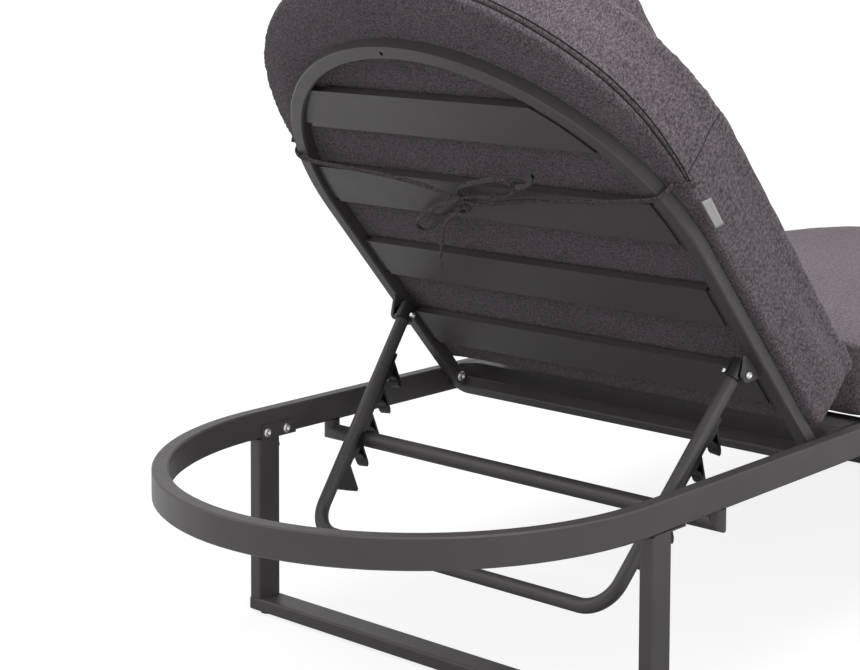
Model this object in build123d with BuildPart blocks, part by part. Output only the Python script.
"""Outdoor sun lounger: a round-ended tube frame on two leg frames, with a backrest
that hinges up and is held by two toothed racks on a catch bar."""
from build123d import *
from math import atan2, cos, degrees, hypot, pi, radians, sin, sqrt, tan
import os

os.makedirs("parts", exist_ok=True)

# Base frame: the origin is on the ground, midway along and across; +Y is the head end
WIDTH = 700
LENGTH = 1950
RAIL_TOP = 286
RAIL_HEIGHT = 38
RAIL_THICKNESS = 20
TUBE_ROUNDING = 3
TUBE_CHAMFER = 2

# Leg frames, one at each end of the straight rails
POST_DEPTH = 38
POST_THICKNESS = 20
FLOOR_BAR_HEIGHT = 18
GLIDE_HEIGHT = 4
GLIDE_RADIUS = 12.5
GLIDE_INSET = 19

# Angle plates that bolt the legs under the rails
LEAF_THICKNESS = 2
PLATE_LENGTH = 62
PLATE_LEAF_HEIGHT = 18
PLATE_END_GAP = 4
SCREW_HEAD_RADIUS = 5
SCREW_HEAD_HEIGHT = 3
SIDE_SCREW_INSETS = (9, 44)
UNDER_SCREW_INSET = 57
SCREW_DROP = 31
BUMPER_RADIUS = 5
BUMPER_HEIGHT = 4
BUMPER_DROP = 14

# Seat support
CROSS_TUBE_SETBACK = 430
CROSS_TUBE_DEPTH = 20
CROSS_TUBE_CORNER = 28
SLAT_WIDTH = 70
SLAT_THICKNESS = 10
SLAT_PITCH = 154
SLAT_TAB_LENGTH = 13
SLAT_TAB_WIDTH = 64
SLAT_TAB_THICKNESS = 5
SLAT_TAB_RECESS = 2.5
SEAT_SLAT_DROP = 4
SEAT_SLAT_GAP = 15
SEAT_SLAT_FOOT_REACH = 200

# Catch bar under the rails
CATCH_BAR_DIAMETER = 22
CATCH_BAR_SETBACK = 146
CATCH_BAR_DROP = 56
CATCH_BAR_ELBOW = 24

# Backrest
BACK_ANGLE = 49
BACK_TUBE = 20
BACK_SIDE_GAP = 2
BACK_CORNER = 24
PIVOT_SETBACK = 385
PIVOT_DROP = 12
PIVOT_HEIGHT_ON_BACK = 31
BACK_SLAT_COUNT = 4
BACK_SLAT_FIRST = 155
DRAIN_HOLE_RADIUS = 3
DRAIN_HOLE_OFFSET = 11

# Pivot bolts
PIVOT_RADIUS = 4
PIVOT_HEAD_RADIUS = 7
PIVOT_HEAD_HEIGHT = 4
PIVOT_ANCHOR = 12
WASHER_RADIUS = 9
RUNNING_CLEARANCE = 0.08
SIDE_CLEARANCE = 0.2

# Prop: the swinging support behind the backrest
PROP_TUBE_DIAMETER = 19
PROP_LENGTH = 340
PROP_SIDE_GAP = 15
PROP_LEAN = 37.5
PROP_BEND = 45
PROP_HEAD = 13
LUG_HEIGHT_ON_BACK = 209.5
LUG_STANDOFF = 16.8
LUG_THICKNESS = 4
LUG_LENGTH = 44
LUG_END_RADIUS = 10
SLEEVE_RADIUS = 12.5
SLEEVE_CAP = 3
SLEEVE_SKIRT = 10
SLEEVE_BEAD = 1.5
PROP_BOLT_RADIUS = 3
PROP_BOLT_HEAD_RADIUS = 5
PROP_BOLT_HEAD_HEIGHT = 4
PROP_NUT_WIDTH = 8
PROP_NUT_HEIGHT = 5
PROP_NUT_DOME_RADIUS = 3.5
PROP_NUT_DOME_HEIGHT = 3
PROP_NUT_DOME_TAPER = 35
PROP_WASHER_THICKNESS = 1

# Toothed racks, measured down the leg from the prop's bolt and out from its axis
TOOTH_COUNT = 4
TOOTH_PITCH = 42.2
TEETH_ABOVE_COUNT = 2
RACK_THICKNESS = 16
RACK_START = 61
RACK_SADDLE = 4
RACK_SPINE = 12
POCKET_DEPTH = 24.1
POCKET_CLEARANCE = 2
POCKET_LIP_ANGLE = 140
HOOK_FOOT = 32
HOOK_SHOULDER = 15
HOOK_SHOULDER_HEIGHT = 40
HOOK_CREST = 11
HOOK_HEIGHT = 43.5
HOOK_LIP = 7.5
HOOK_LIP_UNDERSIDE = 38.3
HOOK_WALL = 3.2
HOOK_ARCH_WALL = 2.8
WINDOW_FLOOR = 15
WINDOW_TOP = 33
END_BLOCK_FOOT = 34
END_BLOCK_NOSE = 2
END_BLOCK_NOSE_HEIGHT = 23
END_BLOCK_TAIL = 3

# Cushions
CUSHION_THICKNESS = 110
CUSHION_GAP = 0.3
CUSHION_EDGE = 24
SEAT_CUSHION_HEAD_GAP = 65
SEAT_CUSHION_INSET = 3
SEAT_CUSHION_CORNER = 24
BACK_CUSHION_BOTTOM = 50
BACK_CUSHION_RISE = 79
BACK_CUSHION_CORNER = 24
PILLOW_WIDTH = 440
PILLOW_LENGTH = 190
PILLOW_THICKNESS = 70
PILLOW_CORNER = 50
PILLOW_ARC_DROP = 245

# Crown of a cushion, as shares of its thickness and of its rounded edge
CROWN_HEIGHT_SHARES = (0, 0.08, 0.5, 0.86, 0.96, 1)
CROWN_INSET_SHARES = (0.3, 0.06, 0, 0.1, 0.4, 1.1)

# Tie of the back cushion: two bands round the backrest's tube and a bow behind the slats.
# Each route is a list of places: across, up the back, and out from its rear face.
TIE_DIAMETER = 6
KNOT_WIDTH = 20
KNOT_HEIGHT = 12
KNOT_PLACE = (31, 479, -6)
KNOT_SIDE_COUNT = 8
TIE_SIDE_COUNT = 8
ARC_SHARE = 0.45
BAND_ANGLE_RIGHT = 22.5
BAND_ANGLE_LEFT = 202.5
UPPER_LOOP_ANGLES = (112.5, 157.5)
LOWER_LOOP_ANGLES = (-22.5, -112.5)
TAIL_ANGLE = -67.5
BAND_REACH = 20
LOOP_REACH = 12
TAIL_REACH = 9
BAND_ROUTE_RIGHT = [(317, 529, -4.5), (274, 518, -4.5), (210, 514, -4.5), (148, 509, -4.5),
                    (92, 500, -5)]
BAND_ROUTE_LEFT = [(-321, 523, -4.5), (-276, 513, -4.5), (-216, 503, -4.5), (-152, 497, -4.5),
                   (-95, 491, -4.5), (-45, 480, -5), (-8, 472, -6)]
UPPER_LOOP_ROUTE = [(2, 511, -8), (-24, 520, -10), (-52, 531, -12), (-76, 535, -12),
                    (-91, 527, -11), (-88, 513, -9), (-72, 502, -8), (-48, 495, -7),
                    (-20, 491, -6)]
LOWER_LOOP_ROUTE = [(78, 462, -7), (102, 449, -8), (124, 435, -8), (140, 424, -7),
                    (150, 412, -6), (146, 400, -5), (132, 403, -4), (112, 416, -3),
                    (92, 431, -2), (72, 443, -1), (54, 448, -1), (38, 449, -3)]
UPPER_TAIL_ROUTE = [(-90, 520, -10), (-108, 526, -13), (-124, 533, -15), (-135, 542, -16),
                    (-141, 551, -15)]
HANGING_TAIL_ROUTE = [(48, 453, -10), (62, 446, -15), (72, 438, -22), (75, 423, -35),
                      (77, 408, -48), (76, 393, -61)]

# Places that follow from the sizes above
HALF_WIDTH = WIDTH / 2
INNER_HALF_WIDTH = HALF_WIDTH - RAIL_THICKNESS
ARC_CENTRE = (LENGTH - WIDTH) / 2
CROSS_TUBE_HEAD_FACE = ARC_CENTRE - CROSS_TUBE_SETBACK
RAIL_BOTTOM = RAIL_TOP - RAIL_HEIGHT
FLOOR_BAR_TOP = GLIDE_HEIGHT + FLOOR_BAR_HEIGHT
POST_TOP = RAIL_BOTTOM - LEAF_THICKNESS
CATCH_BAR_Y = ARC_CENTRE - CATCH_BAR_SETBACK
CATCH_BAR_Z = RAIL_TOP - CATCH_BAR_DROP
CATCH_BAR_RADIUS = CATCH_BAR_DIAMETER / 2
PIVOT_Y = ARC_CENTRE - PIVOT_SETBACK
PIVOT_Z = RAIL_TOP - PIVOT_DROP
BACK_HALF_WIDTH = INNER_HALF_WIDTH - BACK_SIDE_GAP
BACK_INNER_HALF_WIDTH = BACK_HALF_WIDTH - BACK_TUBE
BACK_ARC = PIVOT_HEIGHT_ON_BACK + PIVOT_SETBACK
BACK_UP = Vector(0, cos(radians(BACK_ANGLE)), sin(radians(BACK_ANGLE)))
BACK_OUT = Vector(0, -sin(radians(BACK_ANGLE)), cos(radians(BACK_ANGLE)))
PIVOT = Vector(0, PIVOT_Y, PIVOT_Z)
BACK_ORIGIN = PIVOT - BACK_UP * PIVOT_HEIGHT_ON_BACK - BACK_OUT * (BACK_TUBE / 2)
PROP_PIVOT = BACK_ORIGIN + BACK_UP * LUG_HEIGHT_ON_BACK - BACK_OUT * LUG_STANDOFF
PROP_TUBE_RADIUS = PROP_TUBE_DIAMETER / 2
PROP_HALF_WIDTH_TOP = BACK_INNER_HALF_WIDTH - PROP_SIDE_GAP
PROP_HALF_WIDTH_FOOT = PROP_HALF_WIDTH_TOP - PROP_LEAN
BACK_CUSHION_ARC = BACK_ARC + BACK_CUSHION_RISE

# The prop leans so that the catch bar's axis lies in the middle of a rack pocket
TO_BAR_Y = CATCH_BAR_Y - PROP_PIVOT.Y
TO_BAR_Z = CATCH_BAR_Z - PROP_PIVOT.Z
HELD_POCKET = sqrt(hypot(TO_BAR_Y, TO_BAR_Z) ** 2 - POCKET_DEPTH**2)
PROP_ANGLE = degrees(atan2(-TO_BAR_Z, TO_BAR_Y) - atan2(POCKET_DEPTH, HELD_POCKET))
PROP_DOWN = Vector(0, cos(radians(PROP_ANGLE)), -sin(radians(PROP_ANGLE)))
PROP_BACK = Vector(0, -sin(radians(PROP_ANGLE)), -cos(radians(PROP_ANGLE)))
POCKET_RADIUS = CATCH_BAR_RADIUS + POCKET_CLEARANCE
LEG_SLOPE = (PROP_HALF_WIDTH_TOP - PROP_HALF_WIDTH_FOOT) / PROP_LENGTH
HEAD_RISE = PROP_HEAD / hypot(1, LEG_SLOPE)

SIDES = {"left": -1, "right": 1}
ENDS = {"head": 1, "foot": -1}


def save(part, name):
    """Label a finished piece and write it as one STEP file."""
    part.label = name
    export_step(part, f"parts/{name}.step")
    print(f"{name}: {len(part.solids())} solids, {part.volume:.0f} mm3")


def across(point, x):
    """The same place, moved to x across the lounger."""
    return Vector(x, point.Y, point.Z)


def back_plane(depth):
    """A plane along the backrest, at a depth from its rear face: y runs up the back."""
    return Plane(origin=BACK_ORIGIN + BACK_OUT * depth, x_dir=(1, 0, 0), z_dir=BACK_OUT)


def side_plane(x, point):
    """A plane across the lounger at x: its normal is +X and its y is +Z."""
    return Plane(origin=across(point, x), x_dir=(0, 1, 0), z_dir=(1, 0, 0))


def leg_direction(side):
    """The way down one leg of the prop, which leans in towards its foot."""
    return (PROP_DOWN - Vector(side * LEG_SLOPE, 0, 0)).normalized()


def round_topped(half_width, bottom, arc_centre, corner):
    """A flat outline with a half-round top and two rounded bottom corners."""
    with BuildSketch() as outline:
        with BuildLine():
            Line((half_width, bottom + corner), (half_width, arc_centre))
            CenterArc((0, arc_centre), half_width, 0, 90)
            CenterArc((0, arc_centre), half_width, 90, 90)
            Line((-half_width, arc_centre), (-half_width, bottom + corner))
            CenterArc((corner - half_width, bottom + corner), corner, 180, 90)
            Line((corner - half_width, bottom), (half_width - corner, bottom))
            CenterArc((half_width - corner, bottom + corner), corner, 270, 90)
        make_face()
    return outline.sketch


def cushion(plane, thickness, edge, outline):
    """A sewn cushion: loft of its outline, drawn in at the seams, full between them."""
    with BuildPart() as body:
        for height_share, inset_share in zip(CROWN_HEIGHT_SHARES, CROWN_INSET_SHARES):
            with BuildSketch(plane.offset(height_share * thickness)):
                add(outline(inset_share * edge))
        loft(ruled=True)
    return body.part


def slat(plane, centre, reach, arc_centre, thickness):
    """A flat slat between two rails of a round-topped frame, with pressed end tabs."""
    frame_length = 2 * arc_centre + 2 * reach
    with BuildPart() as body:
        with BuildSketch(plane):
            with Locations((0, centre)):
                Rectangle(2 * reach, SLAT_WIDTH)
            SlotOverall(frame_length - 2 * SLAT_TAB_LENGTH, 2 * (reach - SLAT_TAB_LENGTH),
                        rotation=90, mode=Mode.INTERSECT)
        extrude(amount=thickness)
        with BuildSketch(plane.offset(SLAT_TAB_RECESS)):
            with Locations((0, centre)):
                Rectangle(2 * reach, SLAT_TAB_WIDTH)
            SlotOverall(frame_length, 2 * reach, rotation=90, mode=Mode.INTERSECT)
        extrude(amount=SLAT_TAB_THICKNESS)
    return body.part


def cylinders(places, radius, length):
    """A group of equal pins or discs, one from each plane along its normal."""
    with BuildPart() as group:
        for plane in places:
            with BuildSketch(plane):
                Circle(radius)
            extrude(amount=length)
    return group.part


def headed_screws(places, radius, length, head_radius, head_height):
    """A group of equal screws: each plane lies under the head, and its normal runs out of it."""
    with BuildPart() as group:
        for plane in places:
            with BuildSketch(plane):
                Circle(head_radius)
            extrude(amount=head_height)
            with BuildSketch(plane):
                Circle(radius)
            extrude(amount=-length)
    return group.part


# Places of the screws on the leg plates, and of the backrest's pivot bolts
screw_planes = []
for side in SIDES.values():
    for end in ENDS.values():
        for inset in SIDE_SCREW_INSETS:
            place = Vector(side * (INNER_HALF_WIDTH - LEAF_THICKNESS),
                           end * (ARC_CENTRE - PLATE_END_GAP - inset), RAIL_TOP - SCREW_DROP)
            screw_planes.append(Plane(origin=place, x_dir=(0, 1, 0), z_dir=(-side, 0, 0)))
        place = Vector(side * (HALF_WIDTH - RAIL_THICKNESS / 2),
                       end * (ARC_CENTRE - PLATE_END_GAP - UNDER_SCREW_INSET), POST_TOP)
        screw_planes.append(Plane(origin=place, x_dir=(1, 0, 0), z_dir=(0, 0, -1)))
pivot_head_planes = []
for side in SIDES.values():
    place = across(PIVOT, side * (BACK_INNER_HALF_WIDTH - SIDE_CLEARANCE))
    pivot_head_planes.append(Plane(origin=place, x_dir=(0, 1, 0), z_dir=(-side, 0, 0)))
pivot_length = SIDE_CLEARANCE + BACK_TUBE + BACK_SIDE_GAP + PIVOT_ANCHOR
pivot_holes = cylinders(pivot_head_planes, PIVOT_RADIUS + RUNNING_CLEARANCE,
                        -pivot_length - RUNNING_CLEARANCE)

# Base hoop: an upright flat tube bent to a round end at the head and at the foot
with BuildPart() as base_hoop:
    with BuildSketch(Plane.XY.offset(RAIL_BOTTOM)):
        SlotOverall(LENGTH, WIDTH, rotation=90)
        SlotOverall(LENGTH - 2 * RAIL_THICKNESS, 2 * INNER_HALF_WIDTH, rotation=90,
                    mode=Mode.SUBTRACT)
    extrude(amount=RAIL_HEIGHT)
    flats = base_hoop.faces().filter_by(Axis.Z)
    chamfer(flats.edges(), TUBE_CHAMFER)
    add(pivot_holes, mode=Mode.SUBTRACT)
save(base_hoop.part, "base_hoop")

# Seat cross tube, with its head face curving into the rails
with BuildPart() as seat_cross_tube:
    with BuildSketch(Plane.XY.offset(RAIL_BOTTOM)):
        with Locations((0, CROSS_TUBE_HEAD_FACE - CROSS_TUBE_DEPTH)):
            Rectangle(2 * INNER_HALF_WIDTH, CROSS_TUBE_DEPTH + CROSS_TUBE_CORNER,
                      align=(Align.CENTER, Align.MIN))
        with Locations((0, CROSS_TUBE_HEAD_FACE)):
            RectangleRounded(2 * INNER_HALF_WIDTH, 2 * INNER_HALF_WIDTH, CROSS_TUBE_CORNER,
                             align=(Align.CENTER, Align.MIN), mode=Mode.SUBTRACT)
    extrude(amount=RAIL_HEIGHT)
save(seat_cross_tube.part, "seat_cross_tube")

# Seat slats, from the cross tube to the foot end
seat_slat_plane = Plane(origin=(0, 0, RAIL_TOP - SEAT_SLAT_DROP), x_dir=(-1, 0, 0),
                        z_dir=(0, 0, -1))
first_seat_slat = CROSS_TUBE_HEAD_FACE - CROSS_TUBE_DEPTH - SEAT_SLAT_GAP - SLAT_WIDTH / 2
slatted_length = first_seat_slat + ARC_CENTRE + SEAT_SLAT_FOOT_REACH
for number in range(1 + int(slatted_length / SLAT_PITCH)):
    centre = first_seat_slat - number * SLAT_PITCH
    piece = slat(seat_slat_plane, centre, INNER_HALF_WIDTH, ARC_CENTRE, SLAT_THICKNESS)
    save(piece, f"seat_slat_{number + 1}")

# Leg frames: two posts and a floor bar at each end
post_middle = ARC_CENTRE - POST_DEPTH / 2
for end_name, end in ENDS.items():
    for side_name, side in SIDES.items():
        with BuildPart() as post:
            with BuildSketch(Plane.XY.offset(FLOOR_BAR_TOP)):
                with Locations((side * (HALF_WIDTH - POST_THICKNESS / 2), end * post_middle)):
                    Rectangle(POST_THICKNESS, POST_DEPTH)
            extrude(amount=POST_TOP - FLOOR_BAR_TOP)
            fillet(post.edges().filter_by(Axis.Z), TUBE_ROUNDING)
        save(post.part, f"leg_post_{end_name}_{side_name}")
    with BuildPart() as floor_bar:
        with BuildSketch(Plane.XY.offset(GLIDE_HEIGHT)):
            with Locations((0, end * post_middle)):
                Rectangle(WIDTH, POST_DEPTH)
        extrude(amount=FLOOR_BAR_HEIGHT)
        fillet(floor_bar.edges().filter_by(Axis.X), TUBE_ROUNDING)
    save(floor_bar.part, f"floor_bar_{end_name}")

# Leg plates: steel angles inside the rails and under them
plate_middle = ARC_CENTRE - PLATE_END_GAP - PLATE_LENGTH / 2
for end_name, end in ENDS.items():
    for side_name, side in SIDES.items():
        inner_face = side * INNER_HALF_WIDTH
        corner = Vector(inner_face, end * plate_middle, RAIL_BOTTOM)
        with BuildPart() as plate:
            with BuildSketch(Plane(origin=corner, x_dir=(side, 0, 0), z_dir=(0, -side, 0))):
                with Locations((-LEAF_THICKNESS, -LEAF_THICKNESS)):
                    Rectangle(LEAF_THICKNESS + RAIL_THICKNESS, LEAF_THICKNESS,
                              align=(Align.MIN, Align.MIN))
                    Rectangle(LEAF_THICKNESS, PLATE_LEAF_HEIGHT + LEAF_THICKNESS,
                              align=(Align.MIN, Align.MIN))
            extrude(amount=PLATE_LENGTH / 2, both=True)
        save(plate.part, f"leg_plate_{end_name}_{side_name}")

save(cylinders(screw_planes, SCREW_HEAD_RADIUS, SCREW_HEAD_HEIGHT), "plate_screws")

# Round rubber bumpers on the posts, and glides under the floor bars
bumper_planes = []
glide_planes = []
for side in SIDES.values():
    for end in ENDS.values():
        place = (side * (HALF_WIDTH - POST_THICKNESS / 2), end * (ARC_CENTRE - POST_DEPTH),
                 POST_TOP - BUMPER_DROP)
        bumper_planes.append(Plane(origin=place, x_dir=(1, 0, 0), z_dir=(0, -end, 0)))
        place = (side * (HALF_WIDTH - GLIDE_INSET), end * post_middle, 0)
        glide_planes.append(Plane(origin=place))
save(cylinders(bumper_planes, BUMPER_RADIUS, BUMPER_HEIGHT), "post_bumpers")
save(cylinders(glide_planes, GLIDE_RADIUS, GLIDE_HEIGHT), "floor_glides")

# Catch bar: a round tube between two mitred elbows that turn up under the rails
elbow_middle = HALF_WIDTH - CATCH_BAR_RADIUS
bar_end = elbow_middle - CATCH_BAR_ELBOW
catch_bar_axis = Vector(0, CATCH_BAR_Y, CATCH_BAR_Z)
with BuildPart() as catch_bar:
    with BuildSketch(side_plane(0, catch_bar_axis)):
        Circle(CATCH_BAR_RADIUS)
    extrude(amount=bar_end, both=True)
save(catch_bar.part, "catch_bar")
for side_name, side in SIDES.items():
    with BuildPart() as elbow:
        with BuildLine():
            Polyline((side * elbow_middle, CATCH_BAR_Y, RAIL_BOTTOM),
                     (side * elbow_middle, CATCH_BAR_Y, CATCH_BAR_Z),
                     (side * bar_end, CATCH_BAR_Y, CATCH_BAR_Z))
        with BuildSketch(Plane(origin=(side * elbow_middle, CATCH_BAR_Y, RAIL_BOTTOM),
                               z_dir=(0, 0, -1))):
            Circle(CATCH_BAR_RADIUS)
        sweep(transition=Transition.RIGHT)
    save(elbow.part, f"catch_bar_elbow_{side_name}")

# Pivot bolts of the backrest, and the washers between the two frames
save(headed_screws(pivot_head_planes, PIVOT_RADIUS, pivot_length, PIVOT_HEAD_RADIUS,
                   PIVOT_HEAD_HEIGHT), "pivot_bolts")
with BuildPart() as pivot_washers:
    for side in SIDES.values():
        with BuildSketch(side_plane(side * INNER_HALF_WIDTH, PIVOT)):
            Circle(WASHER_RADIUS)
            Circle(PIVOT_RADIUS + RUNNING_CLEARANCE, mode=Mode.SUBTRACT)
        extrude(amount=-side * (BACK_SIDE_GAP - SIDE_CLEARANCE))
save(pivot_washers.part, "pivot_washers")

# Backrest hoop: a square tube with a round top and small bottom corners
with BuildPart() as back_hoop:
    with BuildSketch(back_plane(0)):
        add(round_topped(BACK_HALF_WIDTH, 0, BACK_ARC, BACK_CORNER))
        add(round_topped(BACK_INNER_HALF_WIDTH, BACK_TUBE, BACK_ARC, BACK_CORNER - BACK_TUBE),
            mode=Mode.SUBTRACT)
    extrude(amount=BACK_TUBE)
    across_back = back_hoop.faces().sort_by(Axis(BACK_ORIGIN, BACK_OUT))
    chamfer(across_back[0].edges() + across_back[-1].edges(), TUBE_CHAMFER)
    with BuildSketch(back_plane(0)):
        with Locations((DRAIN_HOLE_OFFSET, BACK_ARC + BACK_HALF_WIDTH - BACK_TUBE / 2)):
            Circle(DRAIN_HOLE_RADIUS)
    extrude(amount=BACK_TUBE / 2, mode=Mode.SUBTRACT)
    add(pivot_holes, mode=Mode.SUBTRACT)
save(back_hoop.part, "back_hoop")

# Backrest slats
for number in range(BACK_SLAT_COUNT):
    centre = BACK_SLAT_FIRST + number * SLAT_PITCH
    piece = slat(back_plane(BACK_TUBE / 2 - SLAT_TAB_THICKNESS), centre, BACK_INNER_HALF_WIDTH,
                 BACK_ARC, SLAT_THICKNESS)
    save(piece, f"back_slat_{number + 1}")

# Lugs that carry the prop, welded under the inner edges of the backrest's side tubes
for side_name, side in SIDES.items():
    lug_face = Plane(origin=across(BACK_ORIGIN, side * BACK_INNER_HALF_WIDTH), x_dir=BACK_UP,
                     z_dir=(1, 0, 0))
    with BuildPart() as lug:
        with BuildSketch(lug_face):
            with Locations((LUG_HEIGHT_ON_BACK, -LUG_STANDOFF)):
                Circle(LUG_END_RADIUS)
            with Locations((LUG_HEIGHT_ON_BACK, 0)):
                Rectangle(LUG_LENGTH, LUG_THICKNESS, align=(Align.CENTER, Align.MAX))
            make_hull()
            with Locations((LUG_HEIGHT_ON_BACK, -LUG_STANDOFF)):
                Circle(PROP_BOLT_RADIUS + RUNNING_CLEARANCE, mode=Mode.SUBTRACT)
        extrude(amount=side * LUG_THICKNESS)
    save(lug.part, f"prop_lug_{side_name}")

# Prop tube: a U whose legs lean together towards the foot
prop_plane = Plane(origin=PROP_PIVOT, x_dir=(1, 0, 0), z_dir=PROP_BACK)
head_half_width = PROP_HALF_WIDTH_TOP + LEG_SLOPE * HEAD_RISE
bolt_inner_end = PROP_HALF_WIDTH_TOP - SLEEVE_RADIUS - PROP_NUT_HEIGHT
bolt_head_face = BACK_INNER_HALF_WIDTH + LUG_THICKNESS + SIDE_CLEARANCE
bolt_planes = []
for side in SIDES.values():
    place = across(PROP_PIVOT, side * bolt_head_face)
    bolt_planes.append(Plane(origin=place, x_dir=(0, 1, 0), z_dir=(side, 0, 0)))
bolt_length = bolt_head_face - bolt_inner_end
bolt_holes = cylinders(bolt_planes, PROP_BOLT_RADIUS + RUNNING_CLEARANCE, -bolt_length)
with BuildPart() as prop_tube:
    with BuildLine(prop_plane) as prop_path:
        FilletPolyline((-head_half_width, HEAD_RISE), (-PROP_HALF_WIDTH_FOOT, -PROP_LENGTH),
                       (PROP_HALF_WIDTH_FOOT, -PROP_LENGTH), (head_half_width, HEAD_RISE),
                       radius=PROP_BEND)
    with BuildSketch(Plane(origin=prop_path.line @ 0, z_dir=prop_path.line % 0)):
        Circle(PROP_TUBE_RADIUS)
    sweep()
    add(bolt_holes, mode=Mode.SUBTRACT)
save(prop_tube.part, "prop_tube")

# Plastic sleeves over the prop's two ends, each with a bead round its rim
for side_name, side in SIDES.items():
    head = across(PROP_PIVOT, side * PROP_HALF_WIDTH_TOP) - leg_direction(side) * PROP_HEAD
    sleeve_axis = Plane(origin=head, z_dir=leg_direction(side))
    with BuildPart() as sleeve:
        with BuildSketch(sleeve_axis.offset(-SLEEVE_CAP)):
            Circle(SLEEVE_RADIUS)
        extrude(amount=SLEEVE_CAP + PROP_HEAD + SLEEVE_SKIRT)
        with BuildSketch(sleeve_axis.offset(PROP_HEAD + SLEEVE_SKIRT - 2 * SLEEVE_BEAD)):
            Circle(SLEEVE_RADIUS + SLEEVE_BEAD)
        extrude(amount=2 * SLEEVE_BEAD)
        with BuildSketch(sleeve_axis):
            Circle(PROP_TUBE_RADIUS)
        extrude(amount=PROP_HEAD + SLEEVE_SKIRT, mode=Mode.SUBTRACT)
        add(bolt_holes, mode=Mode.SUBTRACT)
    save(sleeve.part, f"prop_sleeve_{side_name}")

# Bolts, washers and nuts that hold the prop in the lugs
save(headed_screws(bolt_planes, PROP_BOLT_RADIUS, bolt_length, PROP_BOLT_HEAD_RADIUS,
                   PROP_BOLT_HEAD_HEIGHT), "prop_bolts")
with BuildPart() as prop_washers:
    for side in SIDES.values():
        washer_face = side * (BACK_INNER_HALF_WIDTH - SIDE_CLEARANCE)
        with BuildSketch(side_plane(washer_face, PROP_PIVOT)):
            Circle(LUG_END_RADIUS - SIDE_CLEARANCE)
            Circle(PROP_BOLT_RADIUS + RUNNING_CLEARANCE, mode=Mode.SUBTRACT)
        extrude(amount=-side * PROP_WASHER_THICKNESS)
save(prop_washers.part, "prop_washers")
with BuildPart() as prop_nuts:
    for side in SIDES.values():
        with BuildSketch(side_plane(side * bolt_inner_end, PROP_PIVOT)):
            RegularPolygon(PROP_NUT_WIDTH / 2, 6, major_radius=False)
            Circle(PROP_BOLT_RADIUS + RUNNING_CLEARANCE, mode=Mode.SUBTRACT)
        extrude(amount=side * (PROP_NUT_HEIGHT - PROP_WASHER_THICKNESS))
        with BuildSketch(side_plane(side * bolt_inner_end, PROP_PIVOT)):
            Circle(PROP_NUT_DOME_RADIUS)
        extrude(amount=-side * PROP_NUT_DOME_HEIGHT, taper=PROP_NUT_DOME_TAPER)
save(prop_nuts.part, "prop_nuts")


def hook(pocket):
    """One hooked tooth: its slanted outer wall, crest and lip, and the arch of its pocket."""
    arc_middle = 0.5 * (POCKET_LIP_ANGLE + 270)
    lip_x = pocket + POCKET_RADIUS * cos(radians(POCKET_LIP_ANGLE))
    lip_y = POCKET_DEPTH + POCKET_RADIUS * sin(radians(POCKET_LIP_ANGLE))
    middle_x = pocket + POCKET_RADIUS * cos(radians(arc_middle))
    middle_y = POCKET_DEPTH + POCKET_RADIUS * sin(radians(arc_middle))
    with BuildSketch() as outline:
        with BuildLine():
            Polyline((pocket, RACK_SADDLE), (pocket - HOOK_FOOT, RACK_SADDLE),
                     (pocket - HOOK_FOOT, RACK_SPINE),
                     (pocket - HOOK_SHOULDER, HOOK_SHOULDER_HEIGHT),
                     (pocket - HOOK_CREST, HOOK_HEIGHT), (pocket - HOOK_LIP, HOOK_HEIGHT),
                     (pocket - HOOK_LIP, HOOK_LIP_UNDERSIDE), (lip_x, lip_y))
            ThreePointArc((lip_x, lip_y), (middle_x, middle_y),
                          (pocket, POCKET_DEPTH - POCKET_RADIUS))
            Line((pocket, POCKET_DEPTH - POCKET_RADIUS), (pocket, RACK_SADDLE))
        make_face()
    return outline.sketch


def hook_window(pocket):
    """The opening through a tooth, between its outer wall and the arch of its pocket."""
    wall_run = HOOK_FOOT - HOOK_SHOULDER
    wall_rise = HOOK_SHOULDER_HEIGHT - RACK_SPINE
    wall_inset = HOOK_WALL * hypot(wall_run, wall_rise) / wall_rise
    floor_x = pocket - HOOK_FOOT + wall_inset + wall_run * (WINDOW_FLOOR - RACK_SPINE) / wall_rise
    top_x = pocket - HOOK_FOOT + wall_inset + wall_run * (WINDOW_TOP - RACK_SPINE) / wall_rise
    arch = POCKET_RADIUS + HOOK_ARCH_WALL
    arch_floor_x = pocket - sqrt(arch**2 - (POCKET_DEPTH - WINDOW_FLOOR) ** 2)
    arch_top_x = pocket - sqrt(arch**2 - (WINDOW_TOP - POCKET_DEPTH) ** 2)
    with BuildSketch() as outline:
        with BuildLine():
            Polyline((arch_floor_x, WINDOW_FLOOR), (floor_x, WINDOW_FLOOR), (top_x, WINDOW_TOP),
                     (arch_top_x, WINDOW_TOP))
            ThreePointArc((arch_top_x, WINDOW_TOP), (pocket - arch, POCKET_DEPTH),
                          (arch_floor_x, WINDOW_FLOOR))
        make_face()
    return outline.sketch


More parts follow.
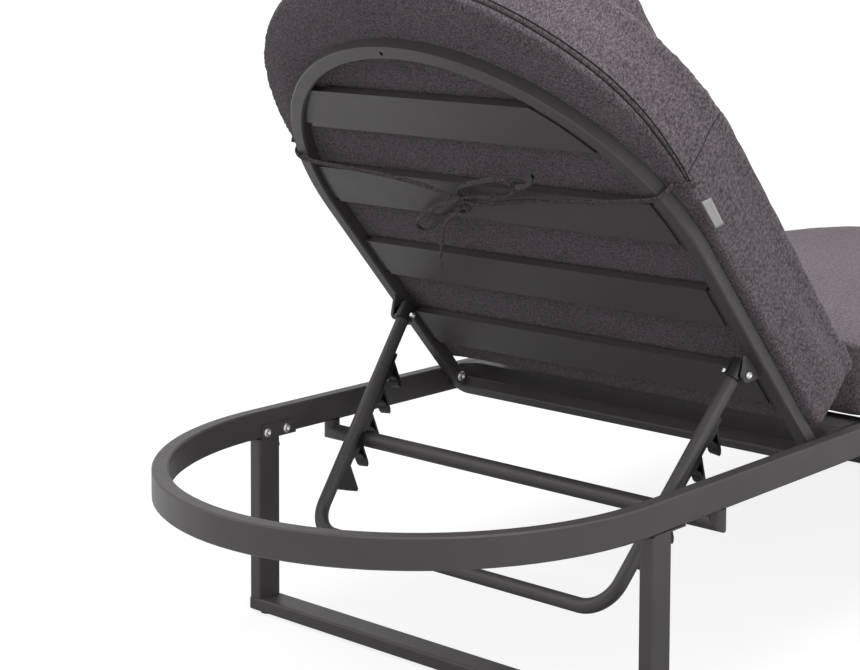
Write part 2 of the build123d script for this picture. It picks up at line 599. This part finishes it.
# Racks: hooked teeth on a spine that sits astride each leg of the prop
first_pocket = HELD_POCKET - TEETH_ABOVE_COUNT * TOOTH_PITCH
pockets = [first_pocket + number * TOOTH_PITCH for number in range(TOOTH_COUNT)]
end_block = pockets[-1] + TOOTH_PITCH
for side_name, side in SIDES.items():
    down = leg_direction(side)
    rack_plane = Plane(origin=across(PROP_PIVOT, side * PROP_HALF_WIDTH_TOP), x_dir=down,
                       z_dir=down.cross(PROP_BACK))
    with BuildPart() as rack:
        with BuildSketch(rack_plane):
            with Locations((RACK_START, RACK_SADDLE)):
                Rectangle(end_block + END_BLOCK_TAIL - RACK_START,
                          POCKET_DEPTH - POCKET_RADIUS - RACK_SADDLE,
                          align=(Align.MIN, Align.MIN))
            for pocket in pockets:
                add(hook(pocket))
                add(hook_window(pocket), mode=Mode.SUBTRACT)
            Polygon((end_block - END_BLOCK_FOOT, RACK_SADDLE),
                    (end_block - END_BLOCK_FOOT, RACK_SPINE),
                    (end_block - HOOK_SHOULDER, HOOK_HEIGHT), (end_block - HOOK_CREST, HOOK_HEIGHT),
                    (end_block - END_BLOCK_NOSE, END_BLOCK_NOSE_HEIGHT),
                    (end_block + END_BLOCK_TAIL, RACK_SADDLE), align=None)
        extrude(amount=RACK_THICKNESS / 2, both=True)
        with BuildSketch(Plane(origin=rack_plane.origin, z_dir=down)):
            Circle(PROP_TUBE_RADIUS)
        extrude(amount=PROP_LENGTH, mode=Mode.SUBTRACT)
    save(rack.part, f"rack_{side_name}")

# Seat cushion, from in front of the backrest to the round foot end
seat_cushion_plane = Plane(origin=(0, 0, RAIL_TOP + CUSHION_GAP), x_dir=(-1, 0, 0),
                           z_dir=(0, 0, 1))
seat_cushion_head = SEAT_CUSHION_HEAD_GAP - CROSS_TUBE_HEAD_FACE
save(cushion(seat_cushion_plane, CUSHION_THICKNESS, CUSHION_EDGE,
             lambda inset: round_topped(HALF_WIDTH - SEAT_CUSHION_INSET - inset,
                                        seat_cushion_head + inset, ARC_CENTRE,
                                        SEAT_CUSHION_CORNER)), "seat_cushion")

# Back cushion, tied to the front of the backrest
save(cushion(back_plane(BACK_TUBE + CUSHION_GAP), CUSHION_THICKNESS, CUSHION_EDGE,
             lambda inset: round_topped(HALF_WIDTH - inset, BACK_CUSHION_BOTTOM + inset,
                                        BACK_CUSHION_ARC, BACK_CUSHION_CORNER)), "back_cushion")


def pillow_outline(inset):
    """The rounded outline of the head pillow, drawn in by an inset."""
    middle = BACK_CUSHION_ARC + HALF_WIDTH - PILLOW_ARC_DROP
    with BuildSketch() as outline:
        with Locations((0, middle)):
            RectangleRounded(PILLOW_WIDTH - 2 * inset, PILLOW_LENGTH - 2 * inset,
                             PILLOW_CORNER - inset)
    return outline.sketch


save(cushion(back_plane(BACK_TUBE + CUSHION_THICKNESS + 2 * CUSHION_GAP), PILLOW_THICKNESS,
             CUSHION_EDGE, pillow_outline), "head_pillow")



def behind_back(place):
    """The point at a place given across, up the back, and out from its rear face."""
    x, up, out = place
    return across(BACK_ORIGIN + BACK_UP * up + BACK_OUT * out, x)


def knot_seat(angle, reach):
    """A place straight out from one side of the knot, or on that side at no reach."""
    x, up, out = KNOT_PLACE
    distance = KNOT_WIDTH / 2 + reach
    return (x + distance * cos(radians(angle)), up + distance * sin(radians(angle)), out)


def tie(name, places):
    """One free stretch of the tie: straight runs joined by arcs as large as the runs allow."""
    points = [behind_back(place) for place in places]
    runs = [end - start for start, end in zip(points, points[1:])]
    radii = []
    for run, following in zip(runs, runs[1:]):
        half_turn = radians(run.get_angle(following)) / 2
        radii.append(ARC_SHARE * min(run.length, following.length) / tan(half_turn))
    with BuildPart() as stretch:
        with BuildLine() as route:
            FilletPolyline(*points, radius=radii)
        with BuildSketch(Plane(origin=points[0], z_dir=runs[0].normalized())):
            RegularPolygon(TIE_DIAMETER / 2, TIE_SIDE_COUNT)
        sweep()
    save(stretch.part, name)
    length = sum(edge.length for edge in route.edges())
    section = TIE_SIDE_COUNT / 2 * (TIE_DIAMETER / 2) ** 2 * sin(2 * pi / TIE_SIDE_COUNT)
    print(f"{name}: length {length:.1f}, section times length {section * length:.0f}, "
          f"radii {[round(radius, 1) for radius in radii]}")


# Knot of the bow, eight-sided, so that each stretch of the tie leaves a flat side
with BuildPart() as tie_knot:
    with BuildSketch(back_plane(KNOT_PLACE[-1])):
        with Locations(KNOT_PLACE[:-1]):
            RegularPolygon(KNOT_WIDTH / 2, KNOT_SIDE_COUNT, major_radius=False)
    extrude(amount=KNOT_HEIGHT / 2, both=True)
save(tie_knot.part, "tie_knot")

# Bands, from the rear of the back cushion round the backrest's tube to the knot
for side_name, route, angle, reach in (("right", BAND_ROUTE_RIGHT, BAND_ANGLE_RIGHT, BAND_REACH),
                                       ("left", BAND_ROUTE_LEFT, BAND_ANGLE_LEFT, LOOP_REACH)):
    x, up, out = route[0]
    tie(f"tie_band_{side_name}", [(x, up, BACK_TUBE + CUSHION_GAP)] + route +
        [knot_seat(angle, reach), knot_seat(angle, 0)])

# Loops and tails of the bow
tie("tie_loop_upper", [knot_seat(UPPER_LOOP_ANGLES[0], 0), knot_seat(UPPER_LOOP_ANGLES[0], LOOP_REACH)] + UPPER_LOOP_ROUTE +
    [knot_seat(UPPER_LOOP_ANGLES[1], LOOP_REACH), knot_seat(UPPER_LOOP_ANGLES[1], 0)])
tie("tie_loop_lower", [knot_seat(LOWER_LOOP_ANGLES[0], 0), knot_seat(LOWER_LOOP_ANGLES[0], LOOP_REACH)] + LOWER_LOOP_ROUTE +
    [knot_seat(LOWER_LOOP_ANGLES[1], LOOP_REACH), knot_seat(LOWER_LOOP_ANGLES[1], 0)])
tie("tie_tail_upper", UPPER_TAIL_ROUTE)
tie("tie_tail_hanging", [knot_seat(TAIL_ANGLE, 0), knot_seat(TAIL_ANGLE, TAIL_REACH)] +
    HANGING_TAIL_ROUTE)

print(f"back origin {BACK_ORIGIN}, prop pivot {PROP_PIVOT}, prop angle {PROP_ANGLE:.2f}")
print(f"leg slope {degrees(atan2(LEG_SLOPE, 1)):.2f}, held pocket {HELD_POCKET:.2f}")
